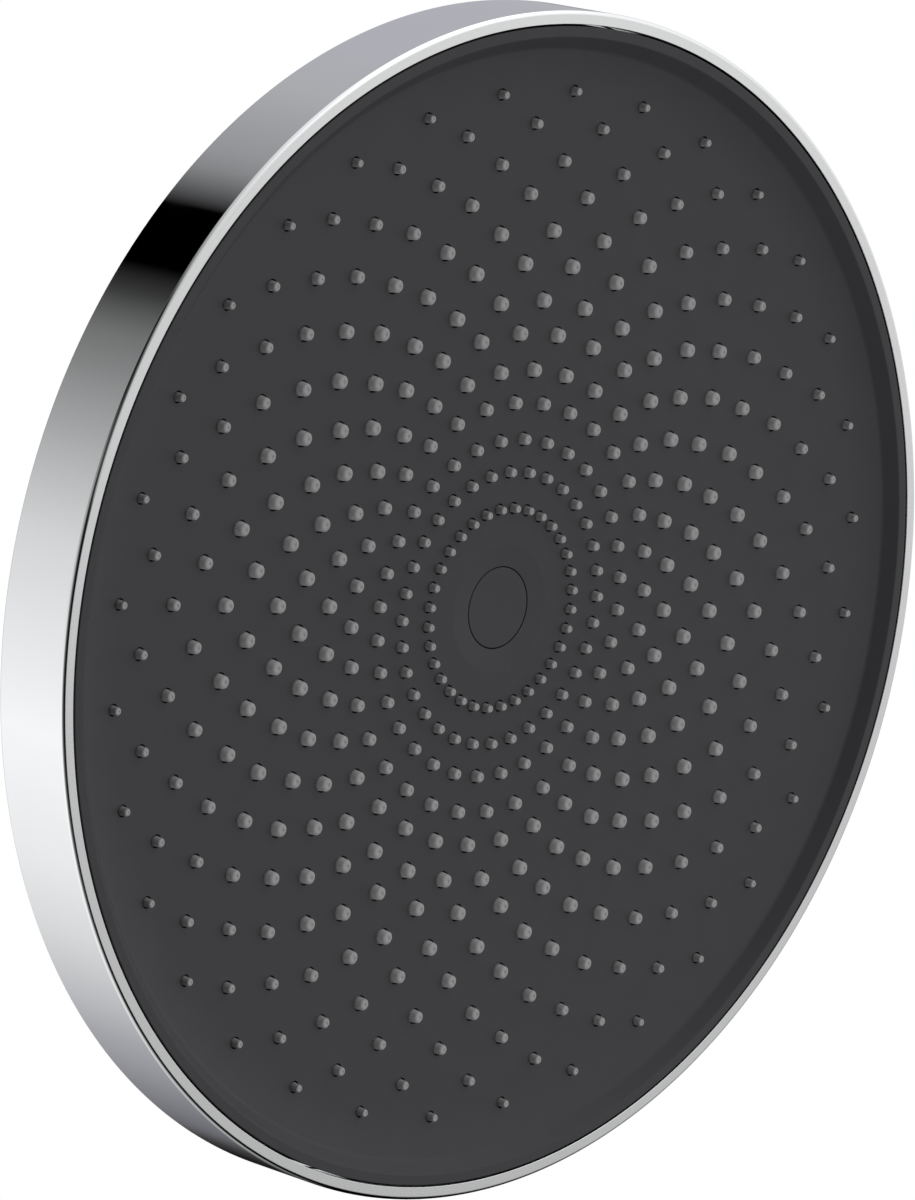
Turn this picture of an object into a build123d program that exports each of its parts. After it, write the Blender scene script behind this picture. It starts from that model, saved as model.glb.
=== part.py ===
from build123d import *
from math import asin, cos, pi, sin, sqrt, tan
import os

# Round rain shower head on a ball joint, hung from a threaded shower arm.
# Millimetres. +Z is up along the inlet axis, the origin is the centre of the
# inlet thread's mouth, and the spray plate faces down.

# Casing: the chromed shell with its wall, back and rim
HEAD_DIA = 360.0
WALL_HEIGHT = 26.6
CASING_WALL = 3.0
CASING_BACK = 2.5
RIM_WIDTH = 4.0
RIM_DEPTH = 3.0
RIM_ROUND = 1.2
BACK_BEVEL = 0.4
BACK_RISE = 4.0
BACK_CONE_DIA = 130.0
BACK_SEAT_DIA = 62.0

# Spray plate: a shallow dish with a flat border, a skirt and a centre boss
PLATE_GAP = 0.6
BORDER_WIDTH = 3.2
SLOPE_WIDTH = 3.7
SLOPE_DEPTH = 3.8
DISH_DEPTH = 6.8
DISH_CURVE_RADIUS = 1690.0
DISH_CURVE_WIDTH = 53.0
EDGE_CURVE_WIDTH = 15.5
PLATE_WALL = 2.5
SKIRT_WALL = 2.5
SKIRT_ROOT = 4.0
DIMPLE_DIA = 38.8
DIMPLE_DEPTH = 0.6
POCKET_WALL = 2.5
POCKET_FLOOR = 2.6

# Nozzles: rings of soft nozzles, small at the centre and edge, large between
NOZZLE_RINGS = 13
NOZZLES_PER_RING = 32
FIRST_RING_DIA = 60.7
LAST_RING_INSET = 12.7
ODD_RING_SHIFT = 0.6
NOZZLE_DIA = 4.5
NOZZLE_TIP_DIA = 3.5
NOZZLE_HEIGHT = 2.4
END_NOZZLE_SHARE = 0.595
TAPER_RINGS = 4.4
NOZZLE_SIDES = 6
NOZZLE_SEAT_GAP = 0.02

# Centre cap, tie screw and its seal
CAP_DIA = 24.6
CAP_TOP = 1.6
CAP_SKIRT = 1.4
CAP_DEPTH = 4.0
CAP_GAP = 0.3
TIE_HEAD_DIA = 9.6
TIE_HEAD_HEIGHT = 2.2
TIE_SHANK_DIA = 4.7
TIE_LENGTH = 8.6
TIE_HOLE_GAP = 0.15
POST_SEAL_SECTION = 1.5
POST_SEAL_HEIGHT = 1.2

# Chamber cover: the water chamber's back wall with its ribs, hub and spider
CHAMBER_DEPTH = 3.5
COVER_WALL = 3.0
COVER_LIP = 4.5
COVER_LIP_INSET = 1.7
RIB_COUNT = 16
RIB_WIDTH = 2.0
RIB_HEIGHT = 5.0
RIB_END_GAP = 12.0
HUB_DIA = 48.0
HUB_CHAMBER_DIA = 40.0
HUB_CEILING = 5.5
HUB_WALL = 2.4
HUB_PASSAGE_DIA = 25.0
SPIDER_ARMS = 4
SPIDER_ARM_WIDTH = 3.0
SPIDER_ARM_HEIGHT = 4.0
SPIDER_POST_DIA = 11.0
SPIDER_POST_TOP = 1.5

# Ball joint: ball, seat, seal, friction ring, collar and hub nut
BALL_DIA = 26.0
BALL_CLEARANCE = 0.1
BALL_BOTTOM = 11.5
NECK_DIA = 13.0
STEM_DIA = 16.0
STEM_SHOULDER = 2.0
STEM_BORE_DIA = 9.2
SEAT_DEPTH = 6.5
SEAT_WALL = 1.9
SEAT_GAP = 0.2
BALL_SEAL_HEIGHT = 2.3
BALL_SEAL_DIA = 26.4
BALL_LIP_GAP = 0.3
SEAL_LIP_HEIGHT = 2.0
HUB_TOP_RISE = 1.0
FRICTION_RING_HEIGHT = 7.0
FRICTION_RING_WALL = 2.9
COLLAR_WALL = 3.4
COLLAR_TOP_INSET = 5.0
COLLAR_TOP = 2.5
COLLAR_CONE = 6.5
COLLAR_SKIRT = 10.5
COLLAR_FLARE = 1.0
COLLAR_MOUTH_DIA = 21.4
GRIP_COUNT = 10
GRIP_RADIUS = 3.0
GRIP_DEPTH = 0.8
HUB_NUT_WALL = 8.4
HUB_NUT_HEIGHT = 6.0
HUB_NUT_NOTCHES = 6
NOTCH_WIDTH = 5.0
NOTCH_DEPTH = 2.5
WASHER_INSET = 0.8
CASING_WASHER = 1.0
CASING_HOLE_GAP = 0.5
THREAD_CLEARANCE = 0.1
STACK_GAP = 0.3

# Inlet: the swivelling union nut with its washer, strainer and flow limiter
INLET_MINOR_DIA = 18.631
INLET_MAJOR_DIA = 20.955
INLET_THREAD_LENGTH = 10.0
NUT_ACROSS_FLATS = 27.0
NUT_HEIGHT = 20.0
NUT_LIP = 3.5
NUT_CHAMFER = 1.0
SWIVEL_CLEARANCE = 0.1
NUT_TO_BALL = 18.5
INLET_WASHER_HEIGHT = 2.4
INLET_WASHER_BORE = 11.6
INLET_WASHER_GAP = 0.3
WASHER_DROP = 0.1
SNAP_RING_HEIGHT = 1.5
SNAP_RING_DIA = 18.4
SNAP_GROOVE_DEPTH = 0.8
SNAP_RING_OPENING = 4.0
SNAP_GAP = 0.05
LIMITER_DIA = 11.4
LIMITER_HEIGHT = 5.0
LIMITER_BORE = 4.4
LIMITER_GAP = 0.1
LIMITER_RING_HEIGHT = 1.8
LIMITER_RING_SECTION = 1.0
STRAINER_HEIGHT = 2.6
STRAINER_WALL = 0.6

# Heights, from the inlet's mouth down to the rim
nut_lip_top = NUT_LIP - NUT_HEIGHT
nut_bottom = -NUT_HEIGHT
stem_top = -(INLET_THREAD_LENGTH + WASHER_DROP + INLET_WASHER_HEIGHT)
ball_z = nut_bottom - NUT_TO_BALL
hub_top = ball_z + HUB_TOP_RISE
seal_top = ball_z - SEAT_DEPTH
seal_seat = seal_top - BALL_SEAL_HEIGHT
collar_shoulder = hub_top + FRICTION_RING_HEIGHT
collar_top = collar_shoulder + COLLAR_TOP
collar_bottom = ball_z - COLLAR_SKIRT
hub_nut_top = collar_bottom - STACK_GAP
hub_nut_bottom = hub_nut_top - HUB_NUT_HEIGHT
seat_outer = hub_nut_bottom - CASING_WASHER
seat_inner = seat_outer - CASING_BACK
back_outer = seat_outer - BACK_RISE
back_inner = back_outer - CASING_BACK
rim_z = back_outer - WALL_HEIGHT
floor_front = rim_z + DISH_DEPTH
floor_back = floor_front + PLATE_WALL
cover_under = floor_back + CHAMBER_DEPTH
cover_top = cover_under + COVER_WALL
hub_ceiling = seat_inner - HUB_CEILING
cap_face = floor_front + DIMPLE_DEPTH
pocket_floor = cap_face + CAP_DEPTH
boss_back = pocket_floor + POCKET_FLOOR

# Radii
head_r = HEAD_DIA / 2
wall_inner_r = head_r - CASING_WALL
rim_inner_r = head_r - RIM_WIDTH
plate_r = rim_inner_r - PLATE_GAP
border_inner_r = plate_r - BORDER_WIDTH
slope_foot_r = border_inner_r - SLOPE_WIDTH
bend_r = slope_foot_r - EDGE_CURVE_WIDTH
floor_r = bend_r - DISH_CURVE_WIDTH
skirt_inner_r = plate_r - SKIRT_WALL
bend_lean = asin(DISH_CURVE_WIDTH / DISH_CURVE_RADIUS)
bend_fall = DISH_CURVE_RADIUS * (1 - cos(bend_lean))
edge_fall = DISH_DEPTH - SLOPE_DEPTH - bend_fall
edge_sag = edge_fall * cos(bend_lean) - EDGE_CURVE_WIDTH * sin(bend_lean)
edge_curve_r = (EDGE_CURVE_WIDTH**2 + edge_fall**2) / (2 * edge_sag)
last_ring_r = slope_foot_r - LAST_RING_INSET
lip_inner_r = last_ring_r + NOZZLE_DIA * END_NOZZLE_SHARE / 2 + COVER_LIP_INSET
cover_r = lip_inner_r + COVER_LIP
cap_r = CAP_DIA / 2
pocket_r = cap_r + CAP_GAP
boss_r = pocket_r + POCKET_WALL
tie_r = TIE_SHANK_DIA / 2
ball_r = BALL_DIA / 2
socket_r = ball_r + BALL_CLEARANCE
seat_r = socket_r + SEAT_WALL
friction_ring_r = socket_r + FRICTION_RING_WALL
hub_thread_r = seat_r + THREAD_CLEARANCE + HUB_WALL
nut_thread_r = hub_thread_r + THREAD_CLEARANCE
collar_r = nut_thread_r + COLLAR_WALL
hub_nut_r = nut_thread_r + HUB_NUT_WALL
stem_r = STEM_DIA / 2
inlet_r = INLET_MINOR_DIA / 2
limiter_r = LIMITER_DIA / 2
limiter_seat_r = limiter_r + LIMITER_GAP
limiter_bottom = stem_top - LIMITER_HEIGHT - STRAINER_HEIGHT


def turned(*points):
    """A turned solid from its half-section, as (radius, height) corners."""
    return revolve(make_face(Plane.XZ * Polyline(*points, close=True)), Axis.Z)


def ring(inner_r, outer_r, bottom, top):
    """A plain ring of rectangular section."""
    corners = ((inner_r, bottom), (outer_r, bottom), (outer_r, top), (inner_r, top))
    return turned(*corners)


def turned_edges(edges):
    """A turned solid from a closed half-section of lines and arcs."""
    return revolve(make_face(Plane.XZ * Curve(edges)), Axis.Z)


def sphere_radius(sphere_r, height):
    """The radius of a level cut through a sphere, this high above its centre."""
    return sqrt(sphere_r**2 - height**2)


def spherical_ring(sphere_r, outer_r, bottom, top):
    """A ring round the ball centre with a spherical bore, between two heights above that centre."""
    low_r = sphere_radius(sphere_r, bottom)
    high_r = sphere_radius(sphere_r, top)
    middle = (bottom + top) / 2
    low = (low_r, ball_z + bottom)
    high = (high_r, ball_z + top)
    bulge = (sphere_radius(sphere_r, middle), ball_z + middle)
    corners = (high, (outer_r, ball_z + top), (outer_r, ball_z + bottom), low)
    return turned_edges([ThreePointArc(low, bulge, high), Polyline(*corners)])


def around(count, piece):
    """Copies of a piece turned evenly about the inlet axis."""
    return [Rot(0, 0, 360 / count * i) * piece for i in range(count)]


def dish_lean(radius):
    """Lean of the spray plate's face at a radius: none, then on the wide arc, then on the edge's."""
    if radius > bend_r:
        return asin(sin(bend_lean) + (radius - bend_r) / edge_curve_r)
    return asin(max(0.0, radius - floor_r) / DISH_CURVE_RADIUS)


def dish_height(radius):
    """Height of the spray plate's face at a radius inside the slope's foot."""
    if radius > bend_r:
        fall = edge_curve_r * (cos(bend_lean) - cos(dish_lean(radius)))
        return floor_front - bend_fall - fall
    return floor_front - DISH_CURVE_RADIUS * (1 - cos(dish_lean(radius)))


def dish_arc(outer_r, inner_r):
    """Arc of the spray plate's face between two radii."""
    middle_r = (outer_r + inner_r) / 2
    return ThreePointArc(*[(radius, dish_height(radius)) for radius in (outer_r, middle_r, inner_r)])


def make_casing():
    ease = RIM_ROUND * (1 - sqrt(0.5))
    rim_foot = (head_r - RIM_ROUND, rim_z)
    rim_side = (head_r, rim_z + RIM_ROUND)
    rim_edge = ThreePointArc(rim_foot, (head_r - ease, rim_z + ease), rim_side)
    rest = Polyline(
        rim_side,
        (head_r, back_outer - BACK_BEVEL),
        (head_r - BACK_BEVEL, back_outer),
        (BACK_CONE_DIA / 2, back_outer),
        (BACK_SEAT_DIA / 2, seat_outer),
        (hub_thread_r + CASING_HOLE_GAP, seat_outer),
        (hub_thread_r + CASING_HOLE_GAP, seat_inner),
        (BACK_SEAT_DIA / 2, seat_inner),
        (BACK_CONE_DIA / 2, back_inner),
        (wall_inner_r, back_inner),
        (wall_inner_r, rim_z + RIM_DEPTH),
        (rim_inner_r, rim_z + RIM_DEPTH),
        (rim_inner_r, rim_z),
        rim_foot,
    )
    return turned_edges([rim_edge, rest])


def make_spray_plate():
    tie_hole_r = tie_r + TIE_HOLE_GAP
    slope_foot = (slope_foot_r, dish_height(slope_foot_r))
    front = Polyline((plate_r, rim_z), (border_inner_r, rim_z), slope_foot)
    edge_curve = dish_arc(slope_foot_r, bend_r)
    dish_curve = dish_arc(bend_r, floor_r)
    rest = Polyline(
        (floor_r, floor_front),
        (DIMPLE_DIA / 2, floor_front),
        (pocket_r, cap_face),
        (pocket_r, pocket_floor),
        (tie_hole_r, pocket_floor),
        (tie_hole_r, boss_back),
        (boss_r, boss_back),
        (boss_r, floor_back),
        (cover_r, floor_back),
        (skirt_inner_r, rim_z + SKIRT_ROOT),
        (skirt_inner_r, back_inner),
        (plate_r, back_inner),
        (plate_r, rim_z),
    )
    return turned_edges([front, edge_curve, dish_curve, rest])


def flat_sided(tip, root):
    """A closed solid with flat sides between two rings of corners."""
    count = len(tip)
    sides = [Wire.make_polygon([tip[i - 1], tip[i], root[i], root[i - 1]]) for i in range(count)]
    ends = [Wire.make_polygon(tip), Wire.make_polygon(root)]
    return Solid(Shell([Face(outline) for outline in sides + ends]))


def nozzle(ring_index):
    """One nozzle on its ring: an upright tapered stub that ends flush on the plate's slope."""
    first_r = FIRST_RING_DIA / 2
    ring_pitch = (last_ring_r - first_r) / (NOZZLE_RINGS - 1)
    is_odd = ring_index % 2
    radius = first_r + ring_index * ring_pitch + is_odd * ODD_RING_SHIFT
    from_end = min(ring_index, NOZZLE_RINGS - 1 - ring_index)
    share = min(1.0, END_NOZZLE_SHARE + (1 - END_NOZZLE_SHARE) * from_end / TAPER_RINGS)
    tip_r = NOZZLE_TIP_DIA / 2 * share
    widening = NOZZLE_DIA / 2 * share - tip_r
    tip_z = dish_height(radius) - NOZZLE_HEIGHT
    tip = []
    root = []
    for corner in range(NOZZLE_SIDES):
        turn = 2 * pi * corner / NOZZLE_SIDES
        dip = tan(dish_lean(radius)) * cos(turn)
        reach = (NOZZLE_HEIGHT - NOZZLE_SEAT_GAP - dip * tip_r) / (NOZZLE_HEIGHT + dip * widening)
        root_r = tip_r + widening * reach
        tip.append(Vector(radius + tip_r * cos(turn), tip_r * sin(turn), tip_z))
        root_z = tip_z + NOZZLE_HEIGHT * reach
        root.append(Vector(radius + root_r * cos(turn), root_r * sin(turn), root_z))
    return Rot(0, 0, 180 / NOZZLES_PER_RING * is_odd) * flat_sided(tip, root)


def make_nozzles():
    rings = [around(NOZZLES_PER_RING, nozzle(i)) for i in range(NOZZLE_RINGS)]
    return [stub for one_ring in rings for stub in one_ring]


def make_centre_cap():
    return turned(
        (0, cap_face),
        (cap_r, cap_face),
        (cap_r, pocket_floor),
        (cap_r - CAP_SKIRT, pocket_floor),
        (cap_r - CAP_SKIRT, cap_face + CAP_TOP),
        (0, cap_face + CAP_TOP),
    )


def make_centre_screw():
    head_r_screw = TIE_HEAD_DIA / 2
    tip = boss_back + TIE_LENGTH - POCKET_FLOOR
    return turned(
        (0, pocket_floor - TIE_HEAD_HEIGHT),
        (head_r_screw, pocket_floor - TIE_HEAD_HEIGHT),
        (head_r_screw, pocket_floor),
        (tie_r, pocket_floor),
        (tie_r, tip),
        (0, tip),
    )


def make_post_seal():
    inner_r = tie_r + TIE_HOLE_GAP
    return ring(inner_r, inner_r + POST_SEAL_SECTION, boss_back, boss_back + POST_SEAL_HEIGHT)


def make_chamber_cover():
    lip_ring = sphere_radius(ball_r + BALL_LIP_GAP, seal_seat - ball_z)
    seal_r = BALL_SEAL_DIA / 2 + THREAD_CLEARANCE
    seat_bore_r = seat_r + THREAD_CLEARANCE
    shell = turned(
        (HUB_CHAMBER_DIA / 2, cover_under),
        (lip_inner_r, cover_under),
        (lip_inner_r, floor_back),
        (cover_r, floor_back),
        (cover_r, cover_top),
        (HUB_DIA / 2, cover_top),
        (HUB_DIA / 2, seat_inner),
        (hub_thread_r, seat_inner),
        (hub_thread_r, hub_top),
        (seat_bore_r, hub_top),
        (seat_bore_r, seal_top),
        (seal_r, seal_top),
        (seal_r, seal_seat),
        (lip_ring, seal_seat),
        (lip_ring, seal_seat - SEAL_LIP_HEIGHT),
        (HUB_PASSAGE_DIA / 2, seal_seat - SEAL_LIP_HEIGHT),
        (HUB_PASSAGE_DIA / 2, hub_ceiling),
        (HUB_CHAMBER_DIA / 2, hub_ceiling),
    )
    rib_start = (HUB_DIA + HUB_CHAMBER_DIA) / 4
    rib_length = cover_r - RIB_END_GAP - rib_start
    rib = Box(rib_length, RIB_WIDTH, RIB_HEIGHT, align=(Align.MIN, Align.CENTER, Align.MIN))
    ribs = around(RIB_COUNT, Pos(rib_start, 0, cover_top) * rib)
    post_r = SPIDER_POST_DIA / 2
    post_top = boss_back + TIE_LENGTH - POCKET_FLOOR + SPIDER_POST_TOP
    post = ring(0.0, post_r, boss_back, post_top)
    arm_align = (Align.MIN, Align.CENTER, Align.MAX)
    arm = Box(rib_start, SPIDER_ARM_WIDTH, SPIDER_ARM_HEIGHT, align=arm_align)
    arms = around(SPIDER_ARMS, Pos(0, 0, post_top) * arm)
    pilot_r = tie_r + SNAP_GAP
    pilot = ring(0.0, pilot_r, boss_back, post_top - SPIDER_POST_TOP)
    seal_recess_r = tie_r + TIE_HOLE_GAP + POST_SEAL_SECTION + SNAP_GAP
    seal_recess = ring(0.0, seal_recess_r, boss_back, boss_back + POST_SEAL_HEIGHT)
    return shell + ribs + post + arms - pilot - seal_recess


def make_casing_washer():
    return ring(nut_thread_r, hub_nut_r - WASHER_INSET, seat_outer, hub_nut_bottom)


def make_hub_nut():
    body = ring(nut_thread_r, hub_nut_r, hub_nut_bottom, hub_nut_top)
    notch_align = (Align.CENTER, Align.CENTER, Align.MIN)
    notch = Box(2 * NOTCH_DEPTH, NOTCH_WIDTH, HUB_NUT_HEIGHT, align=notch_align)
    return body - around(HUB_NUT_NOTCHES, Pos(hub_nut_r, 0, hub_nut_bottom) * notch)


def make_ball_seal():
    return spherical_ring(socket_r, BALL_SEAL_DIA / 2, seal_seat - ball_z, seal_top - ball_z)


def make_ball_seat():
    return spherical_ring(socket_r, seat_r, -SEAT_DEPTH, HUB_TOP_RISE - SEAT_GAP)


def make_friction_ring():
    top = collar_shoulder - ball_z
    return spherical_ring(socket_r, friction_ring_r, HUB_TOP_RISE, top)


def make_retaining_collar():
    pocket = friction_ring_r + THREAD_CLEARANCE
    mouth_r = COLLAR_MOUTH_DIA / 2
    body = turned(
        (nut_thread_r, collar_bottom),
        (collar_r, collar_bottom),
        (collar_r, collar_top - COLLAR_CONE),
        (collar_r - COLLAR_TOP_INSET, collar_top),
        (mouth_r + COLLAR_FLARE, collar_top),
        (mouth_r, collar_shoulder),
        (pocket, collar_shoulder),
        (pocket, hub_top),
        (nut_thread_r, hub_top),
    )
    grip_height = collar_top - collar_bottom
    grip = Cylinder(GRIP_RADIUS, grip_height, align=(Align.CENTER, Align.CENTER, Align.MIN))
    grip_r = collar_r + GRIP_RADIUS - GRIP_DEPTH
    return body - around(GRIP_COUNT, Pos(grip_r, 0, collar_bottom) * grip)


def make_ball_stem():
    bottom = ball_z - BALL_BOTTOM
    neck_r = NECK_DIA / 2
    bore_r = STEM_BORE_DIA / 2
    groove_r = stem_r - SNAP_GROOVE_DEPTH
    groove_low = nut_lip_top - SNAP_GAP
    groove_high = nut_lip_top + SNAP_RING_HEIGHT + SNAP_GAP
    ball_low = (sphere_radius(ball_r, BALL_BOTTOM), bottom)
    ball_high = (neck_r, ball_z + sphere_radius(ball_r, neck_r))
    shoulder = nut_bottom - STEM_SHOULDER
    outside = Polyline(
        ball_high,
        (neck_r, shoulder - (stem_r - neck_r)),
        (stem_r, shoulder),
        (stem_r, groove_low),
        (groove_r, groove_low),
        (groove_r, groove_high),
        (stem_r, groove_high),
        (stem_r, stem_top),
        (limiter_seat_r, stem_top),
        (limiter_seat_r, limiter_bottom),
        (bore_r, limiter_bottom),
        (bore_r, bottom),
        ball_low,
    )
    return turned_edges([ThreePointArc(ball_low, (ball_r, ball_z), ball_high), outside])


def make_snap_ring():
    inner_r = stem_r - SNAP_GROOVE_DEPTH + SNAP_GAP
    whole = ring(inner_r, SNAP_RING_DIA / 2, nut_lip_top, nut_lip_top + SNAP_RING_HEIGHT)
    opening_align = (Align.MIN, Align.CENTER, Align.MIN)
    opening = Box(SNAP_RING_DIA, SNAP_RING_OPENING, SNAP_RING_HEIGHT, align=opening_align)
    return whole - Pos(0, 0, nut_lip_top) * opening


def make_union_nut():
    hexagon = RegularPolygon(NUT_ACROSS_FLATS / 2, 6, major_radius=False)
    body = Pos(0, 0, nut_bottom) * extrude(hexagon, NUT_HEIGHT)
    corner_r = NUT_ACROSS_FLATS / 2 / cos(pi / 6)
    flat_r = NUT_ACROSS_FLATS / 2
    turned_blank = turned(
        (0, nut_bottom),
        (flat_r - NUT_CHAMFER, nut_bottom),
        (corner_r, nut_bottom + corner_r - flat_r + NUT_CHAMFER),
        (corner_r, -(corner_r - flat_r + NUT_CHAMFER)),
        (flat_r - NUT_CHAMFER, 0),
        (0, 0),
    )
    relief_r = INLET_MAJOR_DIA / 2 + THREAD_CLEARANCE
    cavity = turned(
        (0, 0),
        (inlet_r, 0),
        (inlet_r, -INLET_THREAD_LENGTH),
        (relief_r, -INLET_THREAD_LENGTH),
        (relief_r, nut_lip_top),
        (stem_r + SWIVEL_CLEARANCE, nut_lip_top),
        (stem_r + SWIVEL_CLEARANCE, nut_bottom),
        (0, nut_bottom),
    )
    return (body & turned_blank) - cavity


def make_inlet_washer():
    top = stem_top + INLET_WASHER_HEIGHT
    return ring(INLET_WASHER_BORE / 2, inlet_r - INLET_WASHER_GAP, stem_top, top)


def make_strainer():
    top = stem_top
    bottom = stem_top - STRAINER_HEIGHT
    return turned(
        (limiter_r - STRAINER_WALL, bottom),
        (limiter_r, bottom),
        (limiter_r, top),
        (0, top),
        (0, top - STRAINER_WALL),
        (limiter_r - STRAINER_WALL, top - STRAINER_WALL),
    )


def limiter_ring_levels():
    """Bottom and top of the limiter's ring, half way up the limiter."""
    middle = limiter_bottom + LIMITER_HEIGHT / 2
    return middle - LIMITER_RING_HEIGHT / 2, middle + LIMITER_RING_HEIGHT / 2


def make_flow_limiter():
    low, high = limiter_ring_levels()
    top = limiter_bottom + LIMITER_HEIGHT
    groove_r = limiter_r - LIMITER_RING_SECTION
    return turned(
        (LIMITER_BORE / 2, limiter_bottom),
        (limiter_r, limiter_bottom),
        (limiter_r, low),
        (groove_r, low),
        (groove_r, high),
        (limiter_r, high),
        (limiter_r, top),
        (LIMITER_BORE / 2, top),
    )


def make_limiter_ring():
    low, high = limiter_ring_levels()
    return ring(limiter_r - LIMITER_RING_SECTION, limiter_seat_r - SNAP_GAP, low, high)


pieces = {
    "casing": make_casing,
    "spray_plate": make_spray_plate,
    "nozzles": make_nozzles,
    "centre_cap": make_centre_cap,
    "centre_screw": make_centre_screw,
    "post_seal": make_post_seal,
    "chamber_cover": make_chamber_cover,
    "casing_washer": make_casing_washer,
    "hub_nut": make_hub_nut,
    "ball_seal": make_ball_seal,
    "ball_seat": make_ball_seat,
    "friction_ring": make_friction_ring,
    "retaining_collar": make_retaining_collar,
    "ball_stem": make_ball_stem,
    "snap_ring": make_snap_ring,
    "union_nut": make_union_nut,
    "inlet_washer": make_inlet_washer,
    "strainer": make_strainer,
    "flow_limiter": make_flow_limiter,
    "limiter_ring": make_limiter_ring,
}

os.makedirs("parts", exist_ok=True)
for name, make in pieces.items():
    made = make()
    shape = Compound(made) if isinstance(made, list) else made
    export_step(shape, f"parts/{name}.step", write_pcurves=False)
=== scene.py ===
"""Looks of a round rain shower head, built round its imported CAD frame.

Metres, in the row frame: the origin is the inlet's mouth, +Z is up along the inlet
axis, and the spray plate faces down.
"""

import bpy
import numpy as np
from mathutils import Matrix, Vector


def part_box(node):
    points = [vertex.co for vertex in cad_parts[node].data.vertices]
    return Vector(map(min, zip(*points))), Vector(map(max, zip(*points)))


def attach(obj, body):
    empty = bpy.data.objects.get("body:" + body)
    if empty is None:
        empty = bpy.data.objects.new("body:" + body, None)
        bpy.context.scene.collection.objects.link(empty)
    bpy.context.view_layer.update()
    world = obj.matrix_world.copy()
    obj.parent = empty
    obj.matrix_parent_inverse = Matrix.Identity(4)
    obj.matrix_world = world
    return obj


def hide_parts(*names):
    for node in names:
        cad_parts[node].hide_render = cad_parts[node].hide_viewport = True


bl_info = {
    "name": "Rain shower head",
    "version": (1, 0, 0),
    "blender": (4, 5, 0),
    "location": "View3D > Sidebar > Shower head",
    "description": "Builds the visible pieces, finishes and stage of a rain shower head",
    "category": "Object",
}

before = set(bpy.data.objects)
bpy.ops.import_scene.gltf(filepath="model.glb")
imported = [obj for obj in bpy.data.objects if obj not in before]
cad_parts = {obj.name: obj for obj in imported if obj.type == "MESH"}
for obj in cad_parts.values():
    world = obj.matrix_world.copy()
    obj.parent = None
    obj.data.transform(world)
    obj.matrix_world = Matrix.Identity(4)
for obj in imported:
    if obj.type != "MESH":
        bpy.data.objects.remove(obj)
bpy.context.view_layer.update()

MM = 0.001
WELD_DISTANCE = 1e-6
STRAIGHT_WITHIN = 1e-4

# Levels and radii that the CAD nodes give
casing_low, casing_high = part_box("casing")
_, plate_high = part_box("spray_plate")
cap_low, cap_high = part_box("centre_cap")
_, cover_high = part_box("chamber_cover")
hub_nut_low, hub_nut_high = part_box("hub_nut")
casing_washer_low, casing_washer_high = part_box("casing_washer")
collar_low, collar_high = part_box("retaining_collar")
stem_low, stem_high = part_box("ball_stem")
nut_low, nut_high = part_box("union_nut")
inlet_washer_low, inlet_washer_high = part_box("inlet_washer")
strainer_low, strainer_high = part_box("strainer")
rim_z = casing_low.z
head_r = casing_high.x
plate_r = plate_high.x
plate_top = plate_high.z

# Casing section
RIM_WIDTH = 4.0 * MM
RIM_DEPTH = 3.0 * MM
RIM_ROUND = 1.2 * MM
BACK_ROUND = 0.3 * MM
CASING_WALL = 3.0 * MM
CASING_BACK = 2.5 * MM
BACK_RISE = 4.0 * MM
BACK_CONE_R = 65.0 * MM
BACK_SEAT_R = 31.0 * MM
CASING_HOLE_R = 18.0 * MM
CASING_ARC_STEPS = 12
RIM_EDGE_SHARE = 0.6
CONE_FOOT_SHARE = 24.0
CONE_TOP_SHARE = 6.0

# Which faces of the casing are its rim and the wall of the gap beside the plate
RIM_FACE_DEPTH = 0.01 * MM
GAP_DEPTH = 1.01 * RIM_DEPTH
GAP_INWARD = 0.1 * MM

# Spray plate section
BORDER_WIDTH = 3.2 * MM
SLOPE_WIDTH = 3.7 * MM
SLOPE_DEPTH = 3.8 * MM
DISH_DEPTH = 6.8 * MM
DISH_CURVE_R = 1690.0 * MM
DISH_CURVE_WIDTH = 53.0 * MM
EDGE_CURVE_WIDTH = 15.5 * MM
EDGE_CURVE_ROWS = 9
PLATE_WALL = 2.5 * MM
SKIRT_WALL = 2.5 * MM
SKIRT_ROOT = 4.0 * MM
DIMPLE_R = 19.4 * MM
POCKET_R = 12.6 * MM
POCKET_FLOOR = 2.6 * MM
BOSS_R = 15.1 * MM
TIE_HOLE_R = 2.5 * MM
BOSS_ROUNDS = np.array([0.0, 0.3, 0.2, 0.2, 0.2, 0.2, 0.12, 2.0, 0.0]) * MM
SKIRT_ROUNDS = np.array([0.3, 0.2, 0.2, 0.5, 0.0]) * MM

# Nozzle field
NOZZLE_RINGS = 13
NOZZLES_PER_RING = 32
FIRST_RING_R = 30.35 * MM
LAST_RING_INSET = 12.7 * MM
ODD_RING_SHIFT = 0.6 * MM
END_NOZZLE_SHARE = 0.595
TAPER_RINGS = 4.4
CELL_SIDE = 4
RIM_SPLIT = 4
FIRST_CORNER = 0.75
PLUG_PLAY = 0.02 * MM
ORIFICE_TAPER = 0.8

# Centre cap section
CAP_TOP = 1.6 * MM
CAP_SKIRT = 1.4 * MM

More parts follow.
